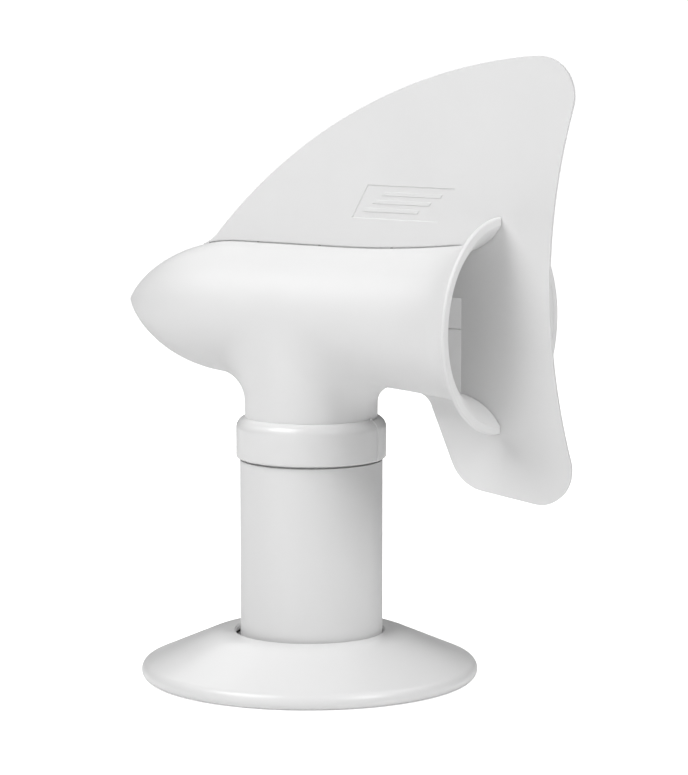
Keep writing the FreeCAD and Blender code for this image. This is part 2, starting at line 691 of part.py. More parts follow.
def collar_section(sketch, proud="0"):
    """The collar's section: a skirt over the tube's end and a grip round the neck, with a round top."""
    rise = value("collar_round")
    centre = (value("collar_radius") - rise, value("collar_top") - rise)
    grip_top = centre[1] + math.sqrt(rise ** 2 - (value("collar_grip") - centre[0]) ** 2)
    corner = (centre[0] + rise * math.cos(math.radians(40)), centre[1] + rise * math.sin(math.radians(40)))
    extra = value(proud)
    edge = value("collar_edge")
    foot, outer = value("collar_foot"), value("collar_radius") + extra
    near = edge * (1 - math.cos(math.radians(45)))
    outline(sketch, [
        ("collar_bore", "collar_foot"), (outer - edge, foot),
        (outer, foot + edge, (outer - near, foot + near)),
        (outer, centre[1]),
        (value("collar_grip"), grip_top + extra, (corner[0] + extra * 0.75, corner[1] + extra * 0.65)),
        ("collar_grip", "collar_ledge"), ("collar_bore", "collar_ledge"),
    ])


def collar_half(label, left):
    """Half of the ring, turned from the seam; the left half carries a bead along the seam."""
    body = new_body(label)
    profile = new_sketch(body, label + "_profile")
    collar_section(profile)
    turn(body, profile, angle=180 - 2 * SEAM_GAP, reverse=left)
    if left:
        bead = new_sketch(body, label + "_bead")
        collar_section(bead, proud="bead_rise")
        turn(body, bead, angle=BEAD_SPAN, reverse=True)
    for side in (-1, 1):
        hole = new_sketch(body, f"{label}_dowel_hole_{'front' if side < 0 else 'back'}")
        circle(hole, "dowel_radius", side * DOWEL_REACH, DOWEL_LEVEL)
        pocket(body, hole, "dowel_hole_length", middle=True)
    start = SEAM_TURN - SEAM_GAP if left else SEAM_TURN + SEAM_GAP
    body.Placement = FreeCAD.Placement(V(), FreeCAD.Rotation(V(0, 0, 1), start))
    doc.recompute()


def collar_pins():
    """Two dowels across the seam, one at each end of it."""
    pins = []
    for side in (-1, 1):
        pin = doc.addObject("Part::Cylinder", f"collar_pin_{'front' if side < 0 else 'back'}")
        pin.setExpression("Radius", "dims.dowel_radius - 0.02")
        pin.Height = DOWEL_LENGTH
        spot = FreeCAD.Placement(V(side * DOWEL_REACH, DOWEL_LENGTH / 2, DOWEL_LEVEL),
                                 FreeCAD.Rotation(V(1, 0, 0), 90))
        pin.Placement = FreeCAD.Placement(V(), FreeCAD.Rotation(V(0, 0, 1), SEAM_TURN)).multiply(spot)
        pins.append(pin)
    node(group("collar_pin_set", pins), "collar_pins")


# ---------------------------------------------------------------- the loose skirt

def trim_skirt():
    """A hollow cone with a flat top and a rolled rim, which slides on the tube and hides the flange."""
    body = new_body("trim_skirt")
    profile = new_sketch(body, "skirt_profile")
    slope = math.radians(value("skirt_slope"))
    shoulder, wall, widest = value("skirt_shoulder"), value("skirt_wall"), value("skirt_widest")
    hub = (value("skirt_radius") - shoulder, widest)

    def shoulder_point(radius, angle):
        return hub[0] + radius * math.cos(angle), hub[1] + radius * math.sin(angle)

    tangent = math.pi / 2 - slope
    cone_end = shoulder_point(shoulder, tangent)
    inner_end = shoulder_point(shoulder - wall, tangent)
    top_radius, bore = value("skirt_bore") + 0.7, value("skirt_bore")
    top, under = value("skirt_top"), value("skirt_top") - wall
    knee = cone_end[0] - (top - cone_end[1]) / math.tan(slope)
    under_knee = inner_end[0] - (under - inner_end[1]) / math.tan(slope)
    reach = value("skirt_knee")
    bend = reach / math.tan(slope / 2)
    knee_foot = (knee + reach * math.cos(slope), top - reach * math.sin(slope))
    knee_middle = (knee - reach + bend * math.sin(slope / 2), top - bend * (1 - math.cos(slope / 2)))
    foot = value("skirt_radius") - widest
    rim = value("skirt_inner_rim")
    rim_level = inner_end[1] - (rim - inner_end[0]) * math.tan(slope)
    outline(profile, [
        (foot, 0.0),
        ("skirt_radius", "skirt_widest", (foot + widest * math.cos(math.radians(45)),
                                          widest * (1 - math.sin(math.radians(45))))),
        (*cone_end, shoulder_point(shoulder, tangent / 2)),
        knee_foot,
        (knee - reach, top, knee_middle),
        (top_radius, top),
        (bore, top - 0.5, (bore + 0.15, top - 0.12)),
        (bore, under),
        (under_knee, under),
        (rim, rim_level),
        ("skirt_inner_rim", 0.0),
    ])
    turn(body, profile)
    body.Placement.Base = SKIRT_SHIFT


# ---------------------------------------------------------------- the whole vent

roof_gasket()
mounting_flange()
pipe_seal()
stack_tube()
bearing_spider()
bush("bushing_upper", "spider_hub_top", up=True)
bush("bushing_lower", "spider_hub_foot", up=False)
head_shell()
tail_fin()
fin_pins()
head_yoke()
yoke_screws()
spindle()
washers_and_clip()
collar_half("collar_half_left", left=True)
collar_half("collar_half_right", left=False)
collar_pins()
trim_skirt()
doc.recompute()

for thing in doc.Objects:
    if "Invalid" in thing.State or "Error" in thing.State:
        raise RuntimeError(f"{thing.Name} failed: {thing.State}")
for made in nodes:
    if made.Shape.isNull() or not made.Shape.isValid():
        raise RuntimeError(f"{made.Label} has no valid shape")

os.makedirs("parts", exist_ok=True)
for made in nodes:
    made.Shape.exportStep(f"parts/{made.Label}.step")
    box = made.Shape.BoundBox
    spans = " ".join(f"{low:8.2f} {high:8.2f}" for low, high in (
        (box.XMin, box.XMax), (box.YMin, box.YMax), (box.ZMin, box.ZMax)))
    print(f"{made.Label:20s} solids {len(made.Shape.Solids)} volume {made.Shape.Volume:9.1f} box {spans}")
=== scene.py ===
import math

import bmesh
import bpy
from mathutils import Matrix, Vector


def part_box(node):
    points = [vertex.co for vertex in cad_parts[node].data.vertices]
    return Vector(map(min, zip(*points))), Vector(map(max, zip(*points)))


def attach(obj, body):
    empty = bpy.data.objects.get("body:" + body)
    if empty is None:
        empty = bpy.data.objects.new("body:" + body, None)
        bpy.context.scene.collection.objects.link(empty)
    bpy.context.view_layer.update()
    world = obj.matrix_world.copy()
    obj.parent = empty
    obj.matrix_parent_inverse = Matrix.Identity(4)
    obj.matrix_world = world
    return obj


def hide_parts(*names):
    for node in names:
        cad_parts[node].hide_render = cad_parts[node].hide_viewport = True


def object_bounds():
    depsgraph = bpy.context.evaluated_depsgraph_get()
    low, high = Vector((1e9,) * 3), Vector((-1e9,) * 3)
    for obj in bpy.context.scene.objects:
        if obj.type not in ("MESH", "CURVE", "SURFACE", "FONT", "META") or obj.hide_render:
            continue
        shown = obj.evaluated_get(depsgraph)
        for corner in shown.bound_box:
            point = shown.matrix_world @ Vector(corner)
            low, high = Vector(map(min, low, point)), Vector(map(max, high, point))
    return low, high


# A wind-turned roof vent: white moulded plastic head, tail fin, collar, stack tube and trim skirt.
# Metres, +Z up, the stack's axis on Z, the nose along -X, the mouth along +X, the fin in the XZ plane.

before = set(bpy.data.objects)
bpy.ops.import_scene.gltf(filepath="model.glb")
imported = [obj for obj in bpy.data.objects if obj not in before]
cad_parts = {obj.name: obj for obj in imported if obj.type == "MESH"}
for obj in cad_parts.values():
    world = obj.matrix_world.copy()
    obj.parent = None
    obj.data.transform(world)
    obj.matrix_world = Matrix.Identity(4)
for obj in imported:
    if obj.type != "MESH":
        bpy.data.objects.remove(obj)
cad_low, cad_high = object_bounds()

MM = 0.001
HALF_TURN = 64                            # segments in half a turn of the larger round surfaces
SHELL_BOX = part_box("head_shell")
FIN_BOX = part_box("tail_fin")
TUBE_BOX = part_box("stack_tube")
COLLAR_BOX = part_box("collar_half_right")
SKIRT_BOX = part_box("trim_skirt")
FLANGE_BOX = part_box("mounting_flange")
GASKET_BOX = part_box("roof_gasket")
SEAL_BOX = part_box("pipe_seal")

MOUTH_RADIUS = SHELL_BOX[1].y             # outside of the bell's lip
AXIS = SHELL_BOX[1].z - MOUTH_RADIUS      # height of the barrel's axis
NOSE_TIP = SHELL_BOX[0].x
MOUTH = SHELL_BOX[1].x
NECK_FOOT = SHELL_BOX[0].z

BARREL = 31.1 * MM                        # barrel radius
WALL = 2.6 * MM
NECK = 31.0 * MM
NECK_BORE = 28.0 * MM
NOSE_LENGTH = 64.6 * MM
NOSE_ARC = 84.67 * MM
NOSE_WALL = 98.0 * MM                     # reach of the hollow inside the nose
FLARE_START, FLARE_ARC = 15.0 * MM, 567.0 * MM
THROAT, THROAT_RADIUS, THROAT_BORE = 83.2 * MM, 35.2 * MM, 31.9 * MM
BELL_ARC, BELL_BORE_ARC = 25.1 * MM, 28.0 * MM
LIP_INNER = 44.6 * MM
BLEND_BELOW, BLEND_BESIDE = 16.0 * MM, 15.0 * MM      # neck fillet under the barrel and at its sides
BLEND_REACH = 56.0 * MM                   # how far along the barrel the neck changes its mesh
FIN_ROOT = 59.0 * MM                      # where the fin's lower part leaves the barrel's underside
FIN_SINK = 0.6 * MM                       # depth of the fin's root in the barrel
SEAT_WIDTH = 2.9 * MM                     # the fin's groove and slots in the shell


# ---------------------------------------------------------------- mesh helpers

def piece(name, mesh, body, material, replaced=(), sharp=35.0):
    """A finished object that rides a body, with smooth shading that breaks at sharp edges."""
    made = bpy.data.objects.new(name, mesh)
    bpy.context.scene.collection.objects.link(made)
    mesh.materials.clear()
    mesh.materials.append(material)
    mesh.shade_smooth()
    mesh.set_sharp_from_angle(angle=math.radians(sharp))
    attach(made, body)
    if replaced:
        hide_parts(*replaced)
    return made


def mesh_from(name, bm):
    """Cleans a bmesh and makes it a mesh with outward normals."""
    bmesh.ops.remove_doubles(bm, verts=bm.verts, dist=2e-7)
    bmesh.ops.dissolve_degenerate(bm, edges=bm.edges, dist=1e-8)
    bmesh.ops.recalc_face_normals(bm, faces=bm.faces)
    mesh = bpy.data.meshes.new(name)
    bm.to_mesh(mesh)
    bm.free()
    return mesh


def add_grid(bm, rows, closed=False):
    """Quads between rows of points; closed joins each row's end to its start."""
    made = [[bm.verts.new(point) for point in row] for row in rows]
    count = len(rows[0])
    for lower, upper in zip(made, made[1:]):
        for i in range(count if closed else count - 1):
            j = (i + 1) % count
            bm.faces.new((lower[i], lower[j], upper[j], upper[i]))


def add_lathe(bm, profile, start=0.0, sweep=2 * math.pi, steps=2 * HALF_TURN, closed=True):
    """Turns a profile of (radius, height) about Z. A part turn is capped at both ends."""
    whole = abs(sweep - 2 * math.pi) < 1e-9
    angles = [start + sweep * i / steps for i in range(steps if whole else steps + 1)]
    rings = [[(r * math.cos(a), r * math.sin(a), z) for a in angles] for r, z in profile]
    add_grid(bm, rings + (rings[:1] if closed else []), closed=whole)
    if not whole:
        for a in (angles[0], angles[-1]):
            bm.faces.new([bm.verts.new((r * math.cos(a), r * math.sin(a), z)) for r, z in profile])


def lathe(name, profile, **how):
    bm = bmesh.new()
    add_lathe(bm, profile, **how)
    return mesh_from(name, bm)


def evenly(start, end, steps):
    """Numbers from start to end in equal steps, both ends included."""
    return [start + (end - start) * i / steps for i in range(steps + 1)]


def straight(start, end, steps):
    """Points after start up to end along a line."""
    a, b = Vector(start), Vector(end)
    return [tuple(a + (b - a) * i / steps) for i in range(1, steps + 1)]


def arc_about(centre, radius, start, end, steps):
    """Points on a circle between two of its points, the short way round."""
    a = math.atan2(start[1] - centre[1], start[0] - centre[0])
    b = math.atan2(end[1] - centre[1], end[0] - centre[0])
    b = a + (b - a + math.pi) % (2 * math.pi) - math.pi
    return [(centre[0] + radius * math.cos(a + (b - a) * i / steps),
             centre[1] + radius * math.sin(a + (b - a) * i / steps)) for i in range(steps + 1)]


def bow(start, end, radius, side, steps):
    """Points after start up to end along an arc; side +1 bows to the left of the way, -1 to the right."""
    a, b = Vector(start), Vector(end)
    half = (b - a).length / 2
    across = Vector((-(b - a).y, (b - a).x)).normalized() * side
    centre = (a + b) / 2 - across * math.sqrt(radius ** 2 - half ** 2)
    first = a - centre
    turn = 2 * math.asin(half / radius) * -side
    points = []
    for i in range(1, steps + 1):
        c, s = math.cos(turn * i / steps), math.sin(turn * i / steps)
        points.append((centre.x + first.x * c - first.y * s, centre.y + first.x * s + first.y * c))
    return points


def corner_reach(u, v, radius):
    """How far from a corner an arc leaves its two sides, which run along the unit vectors u and v."""
    return radius / math.tan(math.acos(max(-1.0, min(1.0, u.dot(v)))) / 2)


def round_corner(before, corner, after, radius, steps=6):
    """An arc in place of a corner, tangent to both of its sides."""
    c = Vector(corner)
    u, v = (Vector(before) - c).normalized(), (Vector(after) - c).normalized()
    reach = corner_reach(u, v, radius)
    side = -1 if u.x * v.y - u.y * v.x < 0 else 1
    return [tuple(c + u * reach)] + bow(c + u * reach, c + v * reach, radius, side, steps)


def rounded(path, steps=6):
    """A closed path from corners (x, y) or (x, y, radius)."""
    points = []
    for i, step in enumerate(path):
        if len(step) == 2:
            points.append(tuple(step))
        else:
            before, after = path[i - 1][:2], path[(i + 1) % len(path)][:2]
            points += round_corner(before, step[:2], after, step[2], steps)
    return points


def add_solid(bm, rows):
    """A solid between closed rows of points, flat at both ends."""
    add_grid(bm, rows, closed=True)
    for row in (rows[0], rows[-1]):
        bm.faces.new([bm.verts.new(point) for point in row])


def solid(name, rows):
    bm = bmesh.new()
    add_solid(bm, rows)
    return mesh_from(name, bm)


def prism(name, outline, low, high):
    """A closed outline in XZ, made solid between two values of y."""
    return solid(name, [[(x, y, z) for x, z in outline] for y in (low, high)])


def boolean(target, tool_mesh, operation="DIFFERENCE"):
    """Applies a boolean to a mesh and returns the new mesh."""
    base = bpy.data.objects.new("base", target)
    tool = bpy.data.objects.new("tool", tool_mesh)
    for made in (base, tool):
        bpy.context.scene.collection.objects.link(made)
    change = base.modifiers.new("cut", "BOOLEAN")
    change.operation, change.object, change.solver = operation, tool, "EXACT"
    depsgraph = bpy.context.evaluated_depsgraph_get()
    result = bpy.data.meshes.new_from_object(base.evaluated_get(depsgraph))
    for made in (base, tool):
        bpy.data.objects.remove(made)
    return result


# ---------------------------------------------------------------- materials

def shader(name):
    """A new material's tree, its Principled shader and its object coordinates."""
    material = bpy.data.materials.new(name)
    material.use_nodes = True
    tree = material.node_tree
    surface = tree.nodes["Principled BSDF"]
    place = tree.nodes.new("ShaderNodeTexCoord")
    return material, tree, surface, place.outputs["Object"]


def noise(tree, place, scale, detail=4.0, stretch=(1.0, 1.0, 1.0)):
    mapping = tree.nodes.new("ShaderNodeMapping")
    mapping.inputs["Scale"].default_value = stretch
    tree.links.new(place, mapping.inputs["Vector"])
    made = tree.nodes.new("ShaderNodeTexNoise")
    made.inputs["Scale"].default_value = scale
    made.inputs["Detail"].default_value = detail
    tree.links.new(mapping.outputs["Vector"], made.inputs["Vector"])
    return made.outputs["Fac"]


def spread(tree, value, low, high):
    """Maps a noise onto low..high."""
    made = tree.nodes.new("ShaderNodeMapRange")
    made.inputs["From Min"].default_value, made.inputs["From Max"].default_value = 0.3, 0.7
    made.inputs["To Min"].default_value, made.inputs["To Max"].default_value = low, high
    tree.links.new(value, made.inputs["Value"])
    return made.outputs["Result"]


def tint(tree, factor, dark, light):
    made = tree.nodes.new("ShaderNodeMix")
    made.data_type = "RGBA"
    made.inputs["A"].default_value = (*dark, 1.0)
    made.inputs["B"].default_value = (*light, 1.0)
    tree.links.new(factor, made.inputs["Factor"])
    return made.outputs["Result"]


def bump(tree, height, distance, strength=1.0, under=None):
    made = tree.nodes.new("ShaderNodeBump")
    made.inputs["Distance"].default_value = distance
    made.inputs["Strength"].default_value = strength
    tree.links.new(height, made.inputs["Height"])
    if under is not None:
        tree.links.new(under, made.inputs["Normal"])
    return made.outputs["Normal"]


def plastic(name, tone, rough, grain, ripple, coat=0.0, stretch=(1.0, 1.0, 1.0), warmth=0.0):
    """Moulded plastic: slight drift of tone, uneven gloss, a fine grain and a slow ripple."""
    material, tree, surface, place = shader(name)
    drift = noise(tree, place, 14.0, 3.0, stretch)
    light = (tone, tone * (1 - warmth * 0.4), tone * (1 - warmth))
    dark = tuple(c * 0.972 for c in light)
    colour = tint(tree, spread(tree, drift, 0.0, 1.0), dark, light)
    tree.links.new(colour, surface.inputs["Base Color"])
    gloss = noise(tree, place, 60.0, 5.0, stretch)
    tree.links.new(spread(tree, gloss, rough * 0.88, rough * 1.12), surface.inputs["Roughness"])
    slow = bump(tree, noise(tree, place, 55.0, 1.0, stretch), ripple)
    fine = bump(tree, noise(tree, place, 2600.0, 2.0, stretch), grain, under=slow)
    tree.links.new(fine, surface.inputs["Normal"])
    surface.inputs["IOR"].default_value = 1.47
    surface.inputs["Coat Weight"].default_value = coat
    surface.inputs["Coat Roughness"].default_value = 0.16
    return material


def rubber(name):
    material, tree, surface, place = shader(name)
    colour = tint(tree, spread(tree, noise(tree, place, 90.0, 5.0), 0.0, 1.0),
                  (0.022, 0.022, 0.023), (0.045, 0.045, 0.046))
    tree.links.new(colour, surface.inputs["Base Color"])
    tree.links.new(spread(tree, noise(tree, place, 400.0), 0.62, 0.8), surface.inputs["Roughness"])
    tree.links.new(bump(tree, noise(tree, place, 1800.0, 3.0), 0.05 * MM), surface.inputs["Normal"])
    return material


def turned_steel(name):
    """Stainless steel with the fine rings that turning leaves."""
    material, tree, surface, place = shader(name)
    rings = noise(tree, place, 900.0, 3.0, (0.02, 0.02, 4.0))
    tree.links.new(tint(tree, spread(tree, rings, 0.0, 1.0), (0.5, 0.5, 0.49), (0.68, 0.68, 0.67)),
                   surface.inputs["Base Color"])
    tree.links.new(spread(tree, rings, 0.22, 0.38), surface.inputs["Roughness"])
    tree.links.new(bump(tree, rings, 0.01 * MM), surface.inputs["Normal"])
    surface.inputs["Metallic"].default_value = 1.0
    return material


# ---------------------------------------------------------------- the head's shell

def outer_radius(x):
    """The barrel's outside between its nose's arc and the end of its flare."""
    start = NOSE_LENGTH + NOSE_TIP
    if x < start:
        return BARREL - NOSE_ARC + math.sqrt(NOSE_ARC ** 2 - (x - start) ** 2)
    if x > FLARE_START:
        return BARREL + FLARE_ARC - math.sqrt(FLARE_ARC ** 2 - (x - FLARE_START) ** 2)
    return BARREL


def inner_radius(x):
    """The bore, a wall's thickness inside, and a little more along the flare."""
    start = NOSE_LENGTH + NOSE_TIP
    arc = NOSE_ARC - WALL
    if x < start:
        return BARREL - NOSE_ARC + math.sqrt(arc ** 2 - (x - start) ** 2)
    extra = THROAT_RADIUS - THROAT_BORE - WALL
    along = max(0.0, x - FLARE_START) / (THROAT - FLARE_START)
    return outer_radius(x) - WALL - extra * along


def nose_outside():
    """Stations (x, r) over the rounded tip and the ogive, up to where the neck's mesh begins."""
    drop = NOSE_ARC - BARREL
    tip = (NOSE_ARC ** 2 - NOSE_LENGTH ** 2 - drop ** 2) / (2 * (NOSE_ARC - NOSE_LENGTH))
    start = NOSE_LENGTH + NOSE_TIP
    toward = Vector((NOSE_TIP + tip - start, NOSE_ARC - BARREL)).normalized()
    meet = math.atan2(toward.y, -toward.x)
    ball = [(NOSE_TIP + tip - tip * math.cos(meet * i / 8), tip * math.sin(meet * i / 8)) for i in range(9)]
    count = 34
    reach = [ball[-1][0] + (-BLEND_REACH - ball[-1][0]) * (i / count) ** 1.25 for i in range(1, count + 1)]
    return ball + [(x, outer_radius(x)) for x in reach]


def nose_inside():
    count = 24
    reach = [-NOSE_WALL + (NOSE_WALL - BLEND_REACH) * (i / count) ** 1.3 for i in range(count + 1)]
    return [(-NOSE_WALL, 0.0)] + [(x, inner_radius(x)) for x in reach]


def tail_stations(radius, bell):
    """Stations (x, r) from where the neck's mesh ends along the flare, then over the bell."""
    return [(x, radius(x)) for x in evenly(BLEND_REACH, THROAT, 10)[1:]] + bell


def bell_outside():
    """Over the bell to the rounded lip and across its flat face."""
    back = (MOUTH - 2.0 * MM, MOUTH_RADIUS - 0.8 * MM)
    arc = bow((THROAT, THROAT_RADIUS), back, BELL_ARC, -1, 14)
    lip = bow(back, (MOUTH, MOUTH_RADIUS - 1.0 * MM), 1.16 * MM, 1, 8)
    face_edge = (MOUTH, LIP_INNER + 0.5 * MM)
    return arc + lip + [face_edge] + bow(face_edge, (MOUTH - 0.4 * MM, LIP_INNER), 0.5 * MM, -1, 3)


def bell_inside():
    inner = (MOUTH - 0.4 * MM, LIP_INNER)
    return bow((THROAT, THROAT_BORE), inner, BELL_BORE_ARC, -1, 16)


def arc_weights(share):
    """Weights of the start, the corner and the end of a quarter turn's arc; they add up to 1."""
    a, b, c = (1 - share) ** 2, math.sqrt(2) * share * (1 - share), share ** 2
    return a / (a + b + c), b / (a + b + c), c / (a + b + c)


ARC_STEPS, NECK_STEPS, BARREL_STEPS, PATCH_COLUMNS = 12, 18, 14, 10      # quads along each part of the tee


def on_barrel(x, r, angle):
    """A point on a ring round the barrel's axis; angles run from straight down."""
    return Vector((x, r * math.sin(angle), AXIS - r * math.cos(angle)))


def add_barrel_top(bm, nose, tail, radius, beside):
    """The upper half of the barrel, whose side edges match the lower half's and the patches'."""
    quarter = math.pi / 2
    upper = [quarter + math.pi * i / HALF_TURN for i in range(HALF_TURN + 1)]
    middle = [beside * (2 * j / PATCH_COLUMNS - 1) for j in range(PATCH_COLUMNS + 1)]
    near = evenly(-BLEND_REACH, -beside, BARREL_STEPS)
    far = [-x for x in near[::-1]]
    between = [(x, radius(x)) for x in near + middle[1:-1] + far]
    add_grid(bm, [[on_barrel(x, r, a) for a in upper] for x, r in nose[:-1] + between + tail])


def add_tee(bm, nose, tail, radius, neck_radius, below, beside):
    """A barrel on a round neck, with a soft blend between them, as one sheet of quads.

    nose and tail are the stations (x, r) clear of the neck, radius(x) the barrel between them, and
    neck_radius(z) the neck's. The neck meets the lower half only.
    """
    turns = evenly(-math.pi / 2, math.pi / 2, HALF_TURN)
    top = radius(0.0)

    def blend_size(angle):
        return below + (beside - below) * math.sin(angle) ** 2

    def barrel_rows(side):
        """Rows along the barrel from the stations' end to the blend's edge."""
        rows, far = [], side * BLEND_REACH
        for i in range(BARREL_STEPS + 1):
            row = []
            for angle in turns:
                edge = side * (top * max(0.0, math.cos(angle)) + blend_size(angle))
                x = far + (edge - far) * i / BARREL_STEPS
                row.append(on_barrel(x, radius(x), angle))
            rows.append(row)
        return rows

    def blend_and_neck(side):
        """For each angle, down the blend's arc and then down the neck."""
        rows = [[] for _ in range(ARC_STEPS + NECK_STEPS + 1)]
        for angle in turns:
            size = blend_size(angle)
            x = side * (top * math.cos(angle) + size)
            slope = (radius(x + 1e-5) - radius(x - 1e-5)) / 2e-5
            end = on_barrel(x, radius(x), angle)
            along = Vector((1.0, slope * math.sin(angle), -slope * math.cos(angle)))
            corner = end - along * side * size
            foot = corner - Vector((0, 0, size))
            for i in range(ARC_STEPS + 1):
                a, b, c = arc_weights(i / ARC_STEPS)
                rows[i].append(end * a + corner * b + foot * c)
            for i in range(1, NECK_STEPS + 1):
                z = foot.z + (NECK_FOOT - foot.z) * i / NECK_STEPS
                scale = neck_radius(z) / top
                rows[ARC_STEPS + i].append(Vector((foot.x * scale, foot.y * scale, z)))
        return rows

    def side_patch(side):
        """The flat triangle on the barrel's side between the front and the back blend."""
        rows = []
        for i in range(ARC_STEPS + 1):
            weights = arc_weights(i / ARC_STEPS)
            reach, z = beside * weights[0], AXIS - beside * weights[2]
            rows.append([Vector((reach * (2 * j / PATCH_COLUMNS - 1), side * top, z))
                         for j in range(PATCH_COLUMNS + 1)])
        return rows

    for side, stations in ((-1, nose), (1, tail[::-1])):
        rows = [[on_barrel(x, r, angle) for angle in turns] for x, r in stations]
        add_grid(bm, rows + (barrel_rows(side)[1:] if side < 0 else barrel_rows(side)))
        add_grid(bm, blend_and_neck(side))
        add_grid(bm, side_patch(side))
    add_barrel_top(bm, nose, tail, radius, beside)


def neck_outside(z):
    """The neck keeps the barrel's radius and slims a hair where the collar grips it."""
    share = min(1.0, max(0.0, (z - COLLAR_BOX[1].z) / (6 * MM)))
    return NECK + (BARREL - NECK) * share


def neck_inside(z):
    """The bore widens from the yoke's seat to the barrel's."""
    share = min(1.0, max(0.0, (z - COLLAR_BOX[1].z - 2 * MM) / (10 * MM)))
    return NECK_BORE + (BARREL - WALL - NECK_BORE) * share


def seat_cutter(width):
    """What the fin's root needs: a groove along the barrel's top and slots through the bell."""
    sink, reach = FIN_SINK + 0.05 * MM, 55 * MM
    foot, root, end = FIN_BOX[0].x - 0.1 * MM, FIN_ROOT - 0.1 * MM, THROAT - 0.1 * MM
    upper = [(x, AXIS + outer_radius(x) - sink) for x in evenly(foot, end, 40)]
    lower = [(x, AXIS - outer_radius(x) + sink) for x in evenly(root, end, 12)]
    inside = inner_radius(0) - 2 * MM
    above = upper + [(end, AXIS + inside), (MOUTH + 2 * MM, AXIS + inside),
                     (MOUTH + 2 * MM, AXIS + reach), (foot, AXIS + reach)]
    under = lower + [(end, AXIS - inside), (MOUTH + 2 * MM, AXIS - inside),
                     (MOUTH + 2 * MM, AXIS - reach), (root, AXIS - reach)]
    return [prism(name, outline, -width / 2, width / 2)
            for name, outline in (("seat_above", above), ("seat_under", under))]


def head_shell(material):
    """Nose, barrel, bell and neck: an outer and an inner sheet joined at the lip and the neck's foot."""
    bm = bmesh.new()
    add_tee(bm, nose_outside(), tail_stations(outer_radius, bell_outside()), outer_radius,
            neck_outside, BLEND_BELOW, BLEND_BESIDE)
    add_tee(bm, nose_inside(), tail_stations(inner_radius, bell_inside()), inner_radius,
            neck_inside, 3.0 * MM, 5.0 * MM)
    turns = [-math.pi / 2 + math.pi * i / HALF_TURN for i in range(2 * HALF_TURN)]
    rows = [[(r * math.cos(a), r * math.sin(a), NECK_FOOT) for a in turns] for r in (NECK, NECK_BORE)]
    add_grid(bm, rows, closed=True)
    mesh = mesh_from("vent_shell", bm)
    for cutter in seat_cutter(SEAT_WIDTH):
        mesh = boolean(mesh, cutter)
    return piece("vent_shell", mesh, "head", material, ["head_shell"], sharp=28)


# ---------------------------------------------------------------- the tail fin

FIN_HALF = (FIN_BOX[1].y - FIN_BOX[0].y) / 2
LEAD_CENTRE, LEAD_ARC = (144.39 * MM, 26.82 * MM), 266.44 * MM
TRAIL_CENTRE, TRAIL_ARC = (404.94 * MM, 192.15 * MM), 276.2 * MM
LEAD_FOOT = -52.8 * MM                    # where the leading edge's arc begins, over the nose
HEEL_HEIGHT = 89.7 * MM                   # the trailing edge's lower end
TOE, FRONT = (83.3 * MM, 97.9 * MM), (68.0 * MM, 132.3 * MM)
TIP_ROUND, HEEL_ROUND, TOE_ROUND = 17.4 * MM, 16.2 * MM, 20.0 * MM


def on_lead(x):
    return x, LEAD_CENTRE[1] + math.sqrt(LEAD_ARC ** 2 - (x - LEAD_CENTRE[0]) ** 2)


def on_trail(z):
    return TRAIL_CENTRE[0] - math.sqrt(TRAIL_ARC ** 2 - (z - TRAIL_CENTRE[1]) ** 2), z


def cut_corner(points, corner, radius):
    """Rounds a corner of a closed path by an arc that joins it on both sides, however short its segments."""
    c = Vector(corner)
    at = min(range(len(points)), key=lambda i: (Vector(points[i]) - c).length)
    before, after = at - 1, at + 1
    while True:
        u, v = Vector(points[before]) - c, Vector(points[after]) - c
        reach = corner_reach(u.normalized(), v.normalized(), radius)
        if u.length >= reach and v.length >= reach:
            break
        before -= u.length < reach
        after += v.length < reach
    arc = round_corner(points[before], corner, points[after], radius, 16)
    return points[:before] + arc + points[after + 1:]


def fin_tip(radius):
    """The tip's rounding: its centre and the points where it leaves the leading and trailing edges."""
    a, b = Vector(LEAD_CENTRE), Vector(TRAIL_CENTRE)
    reach_a, reach_b = LEAD_ARC - radius, TRAIL_ARC + radius
    between = (b - a).length
    along = (between ** 2 + reach_a ** 2 - reach_b ** 2) / (2 * between)
    way = (b - a) / between
    centre = a + way * along + Vector((-way.y, way.x)) * math.sqrt(reach_a ** 2 - along ** 2)
    leave = a + (centre - a).normalized() * LEAD_ARC
    join = b + (centre - b).normalized() * TRAIL_ARC
    return centre, leave, join


def fin_outline():
    """The vane's outline, from its foot over the nose, up the leading edge and round to the root."""
    foot = FIN_BOX[0].x
    foot_top = (foot, AXIS + outer_radius(foot) + 0.1 * MM)
    tip, leave, join = fin_tip(TIP_ROUND)
    start, heel = on_lead(LEAD_FOOT), on_trail(HEEL_HEIGHT)
    tail_foot = (FIN_ROOT, AXIS - outer_radius(FIN_ROOT) - 0.1 * MM)
    rise = bow(foot_top, start, 22 * MM, -1, 5)
    lead = arc_about(LEAD_CENTRE, LEAD_ARC, start, leave, 90) + arc_about(tip, TIP_ROUND, leave, join, 20)[1:]
    trail = arc_about(TRAIL_CENTRE, TRAIL_ARC, join, heel, 80)
    under = straight(heel, TOE, 20) + straight(TOE, FRONT, 20) + bow(FRONT, tail_foot, 9 * MM, -1, 10)
    below = [(x, AXIS - outer_radius(x) + FIN_SINK) for x in evenly(FIN_ROOT, THROAT, 10)]
    above = [(x, AXIS + outer_radius(x) - FIN_SINK) for x in evenly(THROAT, foot, 36)]
    points = [foot_top] + rise + lead[1:] + trail[1:] + under + below + above
    for corner, radius in ((heel, HEEL_ROUND), (TOE, TOE_ROUND)):
        points = cut_corner(points, corner, radius)
    return points


PANEL = [(23.2 * MM, 216.6 * MM), (32.2 * MM, 232.4 * MM), (79.8 * MM, 232.4 * MM), (70.6 * MM, 216.6 * MM)]


